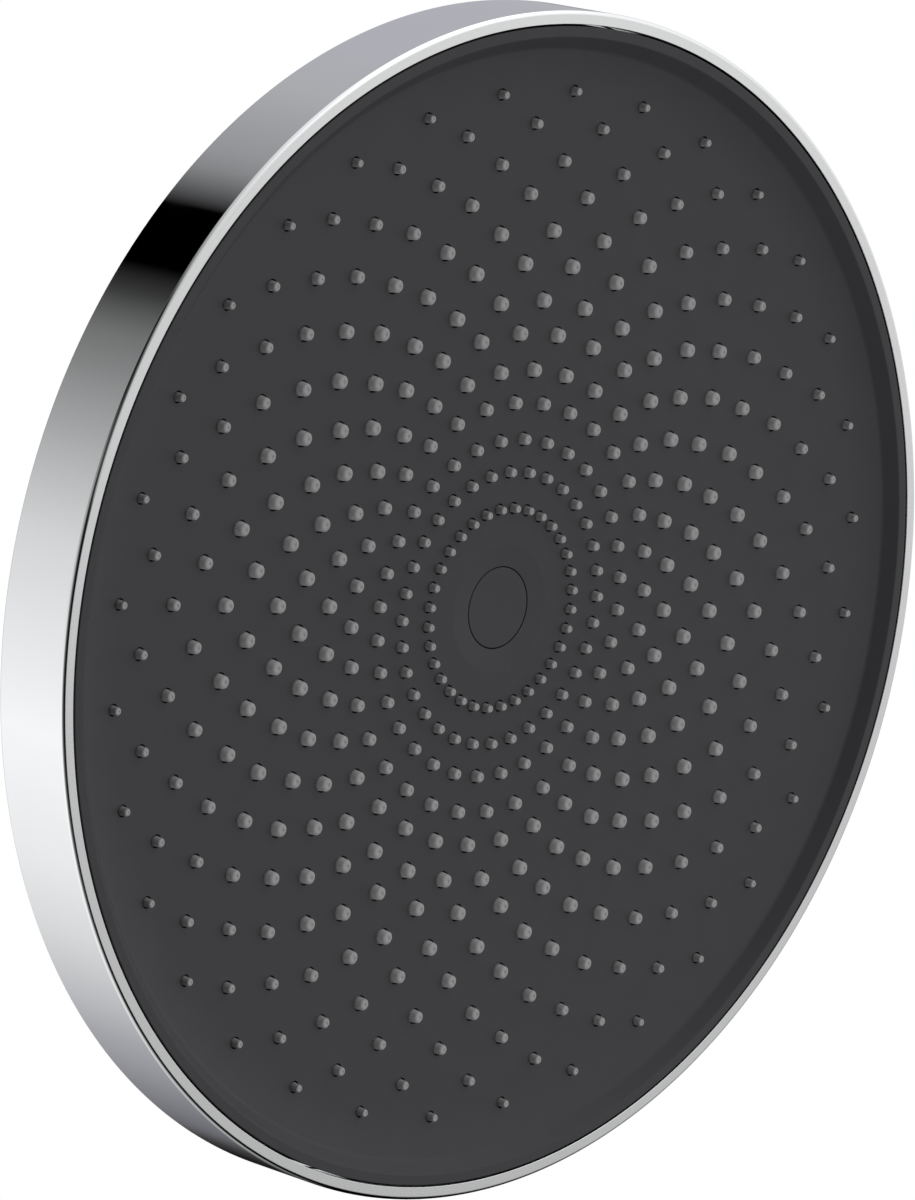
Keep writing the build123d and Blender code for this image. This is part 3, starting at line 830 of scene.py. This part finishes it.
class NozzleSettings(bpy.types.PropertyGroup):
    """The soft nozzles; sizes are those of a full-sized one."""

    base_dia: length_property("Base diameter", "Width where the nozzle leaves the plate", 4.4 * MM)
    shoulder_dia: length_property("Shoulder diameter", "Width below the rounded tip", 4.0 * MM)
    tip_dia: length_property("Tip diameter", "Width of the tip's flat end", 2.9 * MM)
    height: length_property("Height", "How far the tip stands out of the plate", 2.4 * MM)
    shoulder: length_property("Shoulder height", "How far the shoulder stands out", 1.95 * MM)
    orifice_dia: length_property("Orifice diameter", "Width of the water's way out", 0.8 * MM)
    orifice_depth: length_property("Orifice depth", "How deep the orifice shows", 0.15 * MM)
    plug_depth: length_property("Plug depth", "How deep in its hole the nozzle closes the gap", 2.3 * MM)
    sides: number_property("Sides", "Steps round a nozzle", 12, 6)
    colour: colour_property("Silicone", "Colour of the grey silicone", (0.24, 0.24, 0.24))


class JointSettings(bpy.types.PropertyGroup):
    """The ball joint and the inlet behind the casing."""

    edge_round: length_property("Edge round", "Radius along turned edges", 0.4 * MM)
    wire_dia: length_property("Wire diameter", "Wire of the strainer's mesh", 0.28 * MM)
    wire_pitch: length_property("Wire pitch", "From one wire of the strainer to the next", 0.8 * MM)
    rubber: colour_property("Rubber", "Colour of seals and washers", (0.02, 0.02, 0.02))
    steel: colour_property("Steel", "Colour of the plain stainless pieces", (0.6, 0.6, 0.6))
    acetal: colour_property("Acetal", "Colour of the ball's bearing rings", (0.78, 0.77, 0.74))
    chamber: colour_property("Chamber", "Colour of the water chamber", (0.08, 0.08, 0.085))
    limiter: colour_property("Limiter", "Colour of the flow limiter", (0.35, 0.42, 0.5))


class StageSettings(bpy.types.PropertyGroup):
    """Camera, floor and studio light."""

    camera_place: space_property(
        "Camera place", "Below and in front of the head", (-0.04242, -1.45423, -1.43111), "TRANSLATION"
    )
    camera_turn: space_property(
        "Camera turn", "Its turn about X, Y and Z", (2.879974, 0.782315, 1.179183), "EULER"
    )
    lens: number_property("Lens", "Focal length in millimetres", 199.386, 10.0)
    lamp_place: space_property("Lamp place", "Soft box's place", (-0.3, 0.64, -1.87), "TRANSLATION")
    lamp_size: length_property("Lamp size", "Diameter of the soft box", 1.6)
    lamp_power: number_property("Lamp power", "Watts", 22.0, 0.0)
    floor_drop: length_property("Floor drop", "How far the floor lies below the inlet", 2.1)
    floor_reach: length_property("Floor reach", "Radius of the floor", 60.0)
    floor: colour_property("Floor", "Colour of the pale floor", (0.86, 0.86, 0.86))


class RainHeadSettings(bpy.types.PropertyGroup):
    """All the sizes and colours of the shower head."""

    casing: bpy.props.PointerProperty(type=CasingSettings)
    plate: bpy.props.PointerProperty(type=PlateSettings)
    nozzles: bpy.props.PointerProperty(type=NozzleSettings)
    joint: bpy.props.PointerProperty(type=JointSettings)
    stage: bpy.props.PointerProperty(type=StageSettings)


def chrome(settings):
    """The polished chrome that casing, collar, nuts and stem share."""
    return finish_of("polished_chrome", make_chrome, settings.casing.chrome)


def rubber(settings):
    """The black rubber of the seals and washers."""
    return finish_of("seal_rubber", make_moulded, settings.joint.rubber, 0.3 * MM, 0.55, 0.01 * MM)


def graphite(settings):
    """The fine matt plastic of the spray plate and its cap."""
    colour = settings.plate.colour
    return finish_of("fine_graphite", make_moulded, colour, 0.25 * MM, 0.5, 0.012 * MM, 0.22)


def steel(settings):
    """The plain stainless steel of the strainer, the screw and the snap ring."""
    return finish_of("plain_steel", make_steel, settings.joint.steel)


class BuildCasing(bpy.types.Operator):
    """Build the chromed casing with its bevelled rim"""

    bl_idname = "rain_head.build_casing"
    bl_label = "Casing"

    def execute(self, context):
        settings = context.scene.rain_head
        casing = settings.casing
        soft = casing.edge_round
        seat = casing_high.z
        wall_r = head_r - CASING_WALL
        rim_r = head_r - RIM_WIDTH
        rim_back = rim_z + RIM_DEPTH
        outside = [(rim_r, rim_z), (head_r, rim_z), (head_r, back_outer)]
        outside += [(BACK_CONE_R, back_outer), (BACK_SEAT_R, seat), (CASING_HOLE_R, seat)]
        inside = [(CASING_HOLE_R, seat - CASING_BACK), (BACK_SEAT_R, seat - CASING_BACK)]
        inside += [(BACK_CONE_R, back_inner), (wall_r, back_inner), (wall_r, rim_back), (rim_r, rim_back)]
        rounds = [RIM_EDGE_SHARE * soft, RIM_ROUND, BACK_ROUND]
        rounds += [CONE_FOOT_SHARE * soft, CONE_TOP_SHARE * soft, soft] + [soft] * len(inside)
        half = section(outside + inside, rounds, CASING_ARC_STEPS)
        finishes = [
            chrome(settings),
            finish_of("satin_rim", make_satin_chrome, casing.rim),
            # The gap's walls get the darker, duller chrome: painted shade in the narrow gap, on top of a
            # rougher finish.
            finish_of("dull_chrome", make_steel, casing.gap),
        ]
        surface = carried_round(half, even_turns(casing.turns))
        polygons = put_piece("casing_shell", surface, "head", "chrome", "casing", *finishes).data.polygons
        centres = np.zeros((len(polygons), 3))
        normals = np.zeros((len(polygons), 3))
        polygons.foreach_get("center", centres.ravel())
        polygons.foreach_get("normal", normals.ravel())
        above_rim = centres[:, 2] - rim_z
        outward = (centres * normals)[:, :2].sum(-1)
        on_rim = above_rim < RIM_FACE_DEPTH
        # Faces inside the gap take the darker chrome, which paints shade into the gap.
        in_gap = (above_rim < GAP_DEPTH) & (outward < -GAP_INWARD) & ~on_rim
        polygons.foreach_set("material_index", (on_rim + 2 * in_gap).astype(np.int32))
        return {"FINISHED"}


class BuildSprayPlate(bpy.types.Operator):
    """Build the dished spray plate with a hole for every nozzle"""

    bl_idname = "rain_head.build_spray_plate"
    bl_label = "Spray plate"

    def execute(self, context):
        settings = context.scene.rain_head
        plate = settings.plate
        hole = settings.nozzles.base_dia / 2, plate.hole_gap, plate.hole_lip
        surface, splits = spray_plate_surface(*hole, plate.edge_round, plate.foot_round)
        finish = graphite(settings)
        put_piece(
            "spray_plate_dish", surface, "head", "graphite_plastic", "spray_plate", finish, ends=splits
        )
        return {"FINISHED"}


class BuildNozzles(bpy.types.Operator):
    """Build the rings of soft nozzles"""

    bl_idname = "rain_head.build_nozzles"
    bl_label = "Nozzles"

    def execute(self, context):
        settings = context.scene.rain_head
        nozzle = settings.nozzles
        orifice_r = nozzle.orifice_dia / 2
        base_r = nozzle.base_dia / 2
        plug = settings.plate.hole_gap - PLUG_PLAY
        shape = np.array(
            [
                (orifice_r * ORIFICE_TAPER, nozzle.height - nozzle.orifice_depth, -0.3, 1.0, 0.0),
                (orifice_r, nozzle.height, -0.5, 1.0, 0.0),
                (nozzle.tip_dia / 2, nozzle.height, 0.25, 1.0, 0.0),
                (nozzle.shoulder_dia / 2, nozzle.shoulder, 1.0, 0.85, 0.0),
                (base_r, 0.0, 1.0, 0.55, 0.0),
                (base_r, -nozzle.plug_depth, 1.0, 0.5, plug),
            ]
        )
        surface, ends = nozzles_surface(shape, nozzle.sides)
        silicone = finish_of("soft_silicone", make_moulded, nozzle.colour, 0.2 * MM, 0.55, 0.006 * MM)
        put_piece("nozzles_soft", surface, "head", "grey_silicone", "nozzles", silicone, ends=ends)
        return {"FINISHED"}


class BuildCentreCap(bpy.types.Operator):
    """Build the round cap over the tie screw"""

    bl_idname = "rain_head.build_centre_cap"
    bl_label = "Centre cap"

    def execute(self, context):
        settings = context.scene.rain_head
        soft = settings.plate.cap_round
        cap_r = cap_high.x
        skirt_r = cap_r - CAP_SKIRT
        cap_back = cap_face + CAP_TOP
        corners = [(0.0, cap_face), (cap_r, cap_face), (cap_r, pocket_floor)]
        corners += [(skirt_r, pocket_floor), (skirt_r, cap_back), (0.0, cap_back)]
        half = section(corners, [0.0, soft, soft, soft, soft, 0.0], closed=False)
        surface = carried_round(half, even_turns(RING_STEPS), closed=False)
        put_piece("centre_cap_disc", surface, "head", "graphite_plastic", "centre_cap", graphite(settings))
        return {"FINISHED"}


class BuildBallJoint(bpy.types.Operator):
    """Build the stem with its ball, the fluted collar, the hub nut and its washer"""

    bl_idname = "rain_head.build_ball_joint"
    bl_label = "Ball joint"

    def execute(self, context):
        settings = context.scene.rain_head
        soft = settings.joint.edge_round
        self.build_stem(soft, chrome(settings))
        self.build_collar(soft, chrome(settings))
        self.build_hub_nut(soft, chrome(settings))
        levels = casing_washer_low.z, casing_washer_high.z
        half = ring_section(HUB_THREAD_R, casing_washer_high.y, *levels, CASING_WASHER_ROUND)
        surface = carried_round(half, even_turns(RING_STEPS))
        put_piece("casing_washer_ring", surface, "head", "black_rubber", "casing_washer", rubber(settings))
        return {"FINISHED"}

    def build_stem(self, soft, finish):
        """Ball, neck and stem; the ball is an arc about its centre from its foot to the neck."""
        foot = np.arcsin((stem_low.z - ball_z) / BALL_R)
        neck = np.arccos(NECK_R / BALL_R)
        ball = polar(BALL_R, np.linspace(foot, neck, BALL_ROWS)) + [0.0, ball_z]
        shoulder = nut_low.z - STEM_SHOULDER
        groove_r = STEM_R - GROOVE_DEPTH
        groove_low = nut_lip_top - GROOVE_PLAY
        groove_high = groove_low + GROOVE_WIDTH
        seat = stem_high.z - LIMITER_SEAT_DEPTH
        rest = [(NECK_R, shoulder - (STEM_R - NECK_R)), (STEM_R, shoulder), (STEM_R, groove_low)]
        rest += [(groove_r, groove_low), (groove_r, groove_high), (STEM_R, groove_high)]
        rest += [(STEM_R, stem_high.z), (LIMITER_SEAT_R, stem_high.z), (LIMITER_SEAT_R, seat)]
        rest += [(STEM_BORE_R, seat), (STEM_BORE_R, stem_low.z)]
        half = section([*ball, *rest], [0.0] * BALL_ROWS + [*STEM_ROUND_SHARES * soft])
        surface = carried_round(half, even_turns(RING_STEPS))
        put_piece("ball_stem_turned", surface, "stem", "chrome", "ball_stem", finish)

    def build_collar(self, soft, finish):
        """The retaining collar: a coned ring with round grip flutes down its side."""
        collar_r = collar_high.y
        top = collar_high.z
        corners = [(HUB_THREAD_R, collar_low.z), (collar_r, collar_low.z), (collar_r, top - COLLAR_CONE)]
        corners += [(COLLAR_TOP_R, top), (COLLAR_MOUTH_R + COLLAR_FLARE, top)]
        corners += [(COLLAR_MOUTH_R, collar_shoulder), (COLLAR_POCKET_R, collar_shoulder)]
        corners += [(COLLAR_POCKET_R, hub_top), (HUB_THREAD_R, hub_top)]
        half = section(corners, COLLAR_ROUND_SHARES * soft, GRIPPED_ARC_STEPS)
        surface = carried_round(half, even_turns(COLLAR_STEPS), shape=fluted)
        put_piece(
            "retaining_collar_fluted", surface, "head", "chrome", "retaining_collar", finish,
            sharp_angle=COLLAR_SHARP,
        )

    def build_hub_nut(self, soft, finish):
        """The hub nut: a flat ring with notches for a pin wrench."""
        rounds = HUB_NUT_ROUND_SHARES * soft
        levels = hub_nut_low.z, hub_nut_high.z
        half = ring_section(HUB_THREAD_R, hub_nut_high.y, *levels, rounds, GRIPPED_ARC_STEPS)
        surface = carried_round(half, notch_turns(), shape=notched)
        put_piece(
            "hub_nut_notched", surface, "head", "chrome", "hub_nut", finish,
            sharp_angle=HUB_NUT_SHARP,
        )


class BuildInlet(bpy.types.Operator):
    """Build the threaded union nut, its washer and the strainer"""

    bl_idname = "rain_head.build_inlet"
    bl_label = "Inlet"

    def execute(self, context):
        settings = context.scene.rain_head
        self.build_nut(chrome(settings))
        self.build_strainer(settings.joint, steel(settings))
        levels = inlet_washer_low.z, inlet_washer_high.z
        half = ring_section(INLET_WASHER_BORE_R, inlet_washer_high.y, *levels, INLET_WASHER_ROUND)
        surface = carried_round(half, even_turns(SMALL_RING_STEPS))
        put_piece("inlet_washer_ring", surface, "stem", "black_rubber", "inlet_washer", rubber(settings))
        return {"FINISHED"}

    def build_nut(self, finish):
        """The hexagon nut with chamfered ends and the inlet's thread in its bore."""
        flat_r = nut_high.y
        corner_r = nut_high.x
        chamfer = corner_r - flat_r + NUT_CHAMFER
        rise = chamfer * np.linspace(0.0, 1.0, NUT_CHAMFER_ROWS)
        low = side_by_side(flat_r - NUT_CHAMFER + rise, nut_low.z + rise)
        high = side_by_side(corner_r - rise, nut_high.z - chamfer + rise)
        mouth = [(THREAD_MINOR_R + THREAD_CHAMFER, 0.0)]
        thread = side_by_side(THREAD_MINOR_R, np.linspace(-THREAD_CHAMFER, -THREAD_LENGTH, THREAD_ROWS))
        rest = [(RELIEF_R, -THREAD_LENGTH), (RELIEF_R, nut_lip_top)]
        rest += [(SWIVEL_R, nut_lip_top), (SWIVEL_R, nut_low.z)]
        corners = np.concatenate([low, high, mouth, thread, rest])
        rounds = np.zeros(len(corners))
        rounds[[0, 2 * NUT_CHAMFER_ROWS - 1, -1]] = NUT_ROUND
        surface = carried_round(section(corners, rounds), even_turns(NUT_STEPS), shape=hexagonal)
        put_piece(
            "union_nut_threaded", surface, "inlet", "chrome", "union_nut", finish,
            sharp_angle=NUT_SHARP,
        )

    def build_strainer(self, joint, finish):
        """The strainer: a turned cup ring with a woven wire mesh across its top."""
        outer_r = strainer_high.x
        inner_r = outer_r - STRAINER_WALL
        half = ring_section(inner_r, outer_r, strainer_low.z, strainer_high.z, STRAINER_ROUND)
        cup = carried_round(half, even_turns(SMALL_RING_STEPS))
        put_piece("strainer_cup", cup, "stem", "steel", "strainer", finish)
        level = strainer_high.z - MESH_SINK_WIRES * joint.wire_dia
        wires, ends = woven_wires(inner_r + WIRE_OVERLAP, joint.wire_pitch, joint.wire_dia / 2, level)
        put_piece("strainer_mesh", wires, "stem", "steel", "strainer", finish, ends=ends)


class FinishInnerPieces(bpy.types.Operator):
    """Give the CAD nodes that stay as they are their finishes"""

    bl_idname = "rain_head.finish_inner_pieces"
    bl_label = "Inner pieces"

    def execute(self, context):
        settings = context.scene.rain_head
        joint = settings.joint
        acetal = finish_of("bearing_acetal", make_moulded, joint.acetal, 0.3 * MM, 0.35, 0.004 * MM)
        chamber = finish_of("chamber_moulding", make_moulded, joint.chamber, 0.4 * MM, 0.5, 0.01 * MM)
        limiter = finish_of("limiter_moulding", make_moulded, joint.limiter, 0.3 * MM, 0.4, 0.006 * MM)
        finishes = {
            "centre_screw": steel(settings),
            "snap_ring": steel(settings),
            "post_seal": rubber(settings),
            "ball_seal": rubber(settings),
            "limiter_ring": rubber(settings),
            "ball_seat": acetal,
            "friction_ring": acetal,
            "chamber_cover": chamber,
            "flow_limiter": limiter,
        }
        for node, finish in finishes.items():
            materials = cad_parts[node].data.materials
            materials.clear()
            materials.append(finish)
        return {"FINISHED"}


# Studio light by direction, in bands from straight down to overhead. Each band blends in
# between two heights on the unit sphere and has stops of azimuth in degrees and brightness,
# with the share of blue where a screen is cool.
STUDIO_BANDS = [
    (
        (-2.0, -1.0),
        [(-180, 0.0), (180, 0.0), (-100, 0.0), (-58, 0.27), (-27, 0.57), (50, 0.7), (76, 0.58), (95, 0.15)]
        + [(110, 0.03)],
    ),
    (
        (-0.96, -0.78),
        [(-180, 0.1), (180, 0.1), (-142, 0.08), (-110, 0.06), (-92, 0.0), (-66, 0.12), (-48, 0.45)]
        + [(9, 1.2), (26, 1.2), (78, 0.92), (97, 0.57), (112, 0.03), (125, 0.0), (155, 0.0)],
    ),
    (
        (-0.75, -0.45),
        [(-180, 0.45), (180, 0.45), (-172, 0.52), (-126, 0.4), (-95, 0.15), (-78, 0.02), (-66, 0.04)]
        + [(-32, 0.68), (-7, 1.1), (8, 1.7), (26, 1.7), (40, 1.1), (58, 1.0), (75, 0.88), (95, 0.46)]
        + [(106, 0.27), (117, 0.0), (142, 0.0), (155, 0.14)],
    ),
    (
        (-0.42, -0.12),
        [(-180, 0.8), (180, 0.8), (-167, 0.95), (-142, 1.08), (-124, 1.05), (-89, 0.33), (-74, 0.02)]
        + [(-58, 0.0), (-36, 0.62), (-10, 1.02), (8, 1.7), (22, 1.7), (36, 1.08), (50, 0.97)]
        + [(63, 0.86), (80, 0.76), (95, 0.42), (108, 0.18), (113, 0.0), (136, 0.0), (150, 0.36)],
    ),
    (
        (0.34, 0.68),
        [(-180, 0.79), (180, 0.79), (-165, 0.93), (-138, 1.06), (-100, 0.75), (-79, 0.43), (-66, 0.26)]
        + [(-59, 0.19), (-50, 0.045), (-44, 0.0), (-29.5, 0.0), (-19.5, 0.275, 1.03), (-15, 0.335, 1.03)]
        + [(5, 0.46, 1.04), (25, 0.48, 1.08), (74, 0.46, 1.09), (82, 0.1), (90, 0.03), (105, 0.01)]
        + [(113, 0.05), (121, 0.155, 1.12), (135, 0.26, 1.09), (152, 0.42, 1.06)],
    ),
    ((0.76, 0.88), [(-180, 0.1), (180, 0.1)]),
]


def studio_ramp(tree, lap, stops):
    """A ramp round the horizon: each stop is an azimuth in degrees, a brightness and a tint."""
    ramp = add_node(tree, "ValToRGB", {"Fac": lap})
    ramp.color_ramp.interpolation = "LINEAR"
    elements = ramp.color_ramp.elements
    for number, (azimuth, light, *cool) in enumerate(stops):
        place = (azimuth + 180) / 360
        element = elements[number] if number < 2 else elements.new(place)
        element.position = place
        element.color = (light, light, light * cool[0] if cool else light, 1.0)
    return ramp.outputs["Color"]


class BuildStage(bpy.types.Operator):
    """Set up the camera, the pale floor and the studio light"""

    bl_idname = "rain_head.build_stage"
    bl_label = "Stage"

    def execute(self, context):
        stage = context.scene.rain_head.stage
        context.scene.view_settings.view_transform = "Standard"
        self.build_camera(context, stage)
        self.build_floor(context, stage)
        self.build_world(context)
        self.build_lamp(context, stage)
        return {"FINISHED"}

    def build_camera(self, context, stage):
        """The camera at the photograph's place, with its long side as the sensor's width."""
        data = bpy.data.cameras.new("camera")
        data.lens = stage.lens
        data.sensor_width = SENSOR_WIDTH
        camera = bpy.data.objects.new("camera", data)
        camera.location = stage.camera_place
        camera.rotation_euler = stage.camera_turn
        context.scene.collection.objects.link(camera)
        context.scene.camera = camera

    def build_floor(self, context, stage):
        """A wide disc well below the head that shows its shadow and fades to white far off."""
        rim = polar(stage.floor_reach, even_turns(FLOOR_SIDES), -stage.floor_drop)
        mesh = bpy.data.meshes.new("floor")
        mesh.from_pydata(rim.tolist(), [], [list(range(FLOOR_SIDES))])
        floor = bpy.data.objects.new("floor", mesh)
        context.scene.collection.objects.link(floor)
        floor.visible_diffuse = False
        floor.visible_glossy = False
        floor.visible_transmission = False
        floor.visible_shadow = False
        paint = bpy.data.materials.new("pale_floor")
        tree = empty_tree(paint)
        matt = output_of(tree, "BsdfDiffuse", "BSDF", {"Color": (*stage.floor, 1.0)})
        white = output_of(tree, "Emission", "Emission")
        inputs = {"Value": axis_distance(tree), **FLOOR_FADE}
        far = output_of(tree, "MapRange", "Result", inputs, interpolation_type="SMOOTHSTEP")
        clear = output_of(tree, "BsdfTransparent", "BSDF")
        below = output_of(tree, "NewGeometry", "Backfacing")
        surface = mixed_shaders(tree, below, mixed_shaders(tree, far, matt, white), clear)
        add_node(tree, "OutputMaterial", {"Surface": surface})
        mesh.materials.append(paint)

    def build_lamp(self, context, stage):
        """A large soft box below the spray plate, on the side away from the dark screen."""
        data = bpy.data.lights.new("soft_box", "AREA")
        data.shape = "DISK"
        data.size = stage.lamp_size
        data.energy = stage.lamp_power
        lamp = bpy.data.objects.new("soft_box", data)
        lamp.location = stage.lamp_place
        lamp.rotation_euler = (-lamp.location).to_track_quat("-Z", "Y").to_euler()
        lamp.visible_camera = False
        lamp.visible_glossy = False
        context.scene.collection.objects.link(lamp)

    def build_world(self, context):
        """White for the camera; for light and reflections, soft boxes round the horizon.

        Above the head a wide soft box stands on one side and a grey screen on the other, with
        dark gaps between them. Below, the light comes from the side that the spray plate
        mirrors to the camera, and overhead it is dim.
        """
        world = bpy.data.worlds.new("studio")
        context.scene.world = world
        tree = empty_tree(world)
        direction = output_of(tree, "TexCoord", "Generated")
        parts = add_node(tree, "SeparateXYZ", {"Vector": direction}).outputs
        azimuth = output_of(tree, "Math", "Value", {0: parts["Y"], 1: parts["X"]}, operation="ARCTAN2")
        inputs = {"Value": azimuth, "From Min": -np.pi, "From Max": np.pi}
        lap = output_of(tree, "MapRange", "Result", inputs)
        light = BLACK
        for (start, full), stops in STUDIO_BANDS:
            inputs = {"Value": parts["Z"], "From Min": start, "From Max": full}
            rise = output_of(tree, "MapRange", "Result", inputs, interpolation_type="SMOOTHSTEP")
            inputs = {"Factor": rise, "A": light, "B": studio_ramp(tree, lap, stops)}
            light = output_of(tree, "Mix", "Result", inputs, data_type="RGBA")
        studio = output_of(tree, "Background", "Background", {"Color": light})
        white = output_of(tree, "Background", "Background", {"Color": WHITE})
        seen = output_of(tree, "LightPath", "Is Camera Ray")
        add_node(tree, "OutputWorld", {"Surface": mixed_shaders(tree, seen, studio, white)})


class RainHeadPanel(bpy.types.Panel):
    """Lists the pieces of the shower head and their sizes"""

    bl_idname = "RAIN_HEAD_PT_pieces"
    bl_label = "Shower head"
    bl_space_type = "VIEW_3D"
    bl_region_type = "UI"
    bl_category = "Shower head"

    def draw(self, context):
        settings = context.scene.rain_head
        for group in ("casing", "plate", "nozzles", "joint", "stage"):
            box = self.layout.box()
            values = getattr(settings, group)
            for name in values.__annotations__:
                box.prop(values, name)
        for operator in operators:
            self.layout.operator(operator.bl_idname)


settings_groups = (
    CasingSettings,
    PlateSettings,
    NozzleSettings,
    JointSettings,
    StageSettings,
    RainHeadSettings,
)
operators = (
    BuildCasing,
    BuildSprayPlate,
    BuildNozzles,
    BuildCentreCap,
    BuildBallJoint,
    BuildInlet,
    FinishInnerPieces,
    BuildStage,
)


def register():
    for made in (*settings_groups, *operators, RainHeadPanel):
        bpy.utils.register_class(made)
    bpy.types.Scene.rain_head = bpy.props.PointerProperty(type=RainHeadSettings)


def unregister():
    del bpy.types.Scene.rain_head
    for made in reversed((*settings_groups, *operators, RainHeadPanel)):
        bpy.utils.unregister_class(made)


def main():
    register()
    bpy.ops.rain_head.build_casing()
    bpy.ops.rain_head.build_spray_plate()
    bpy.ops.rain_head.build_nozzles()
    bpy.ops.rain_head.build_centre_cap()
    bpy.ops.rain_head.build_ball_joint()
    bpy.ops.rain_head.build_inlet()
    bpy.ops.rain_head.finish_inner_pieces()
    bpy.ops.rain_head.build_stage()


if __name__ == "__main__":
    main()
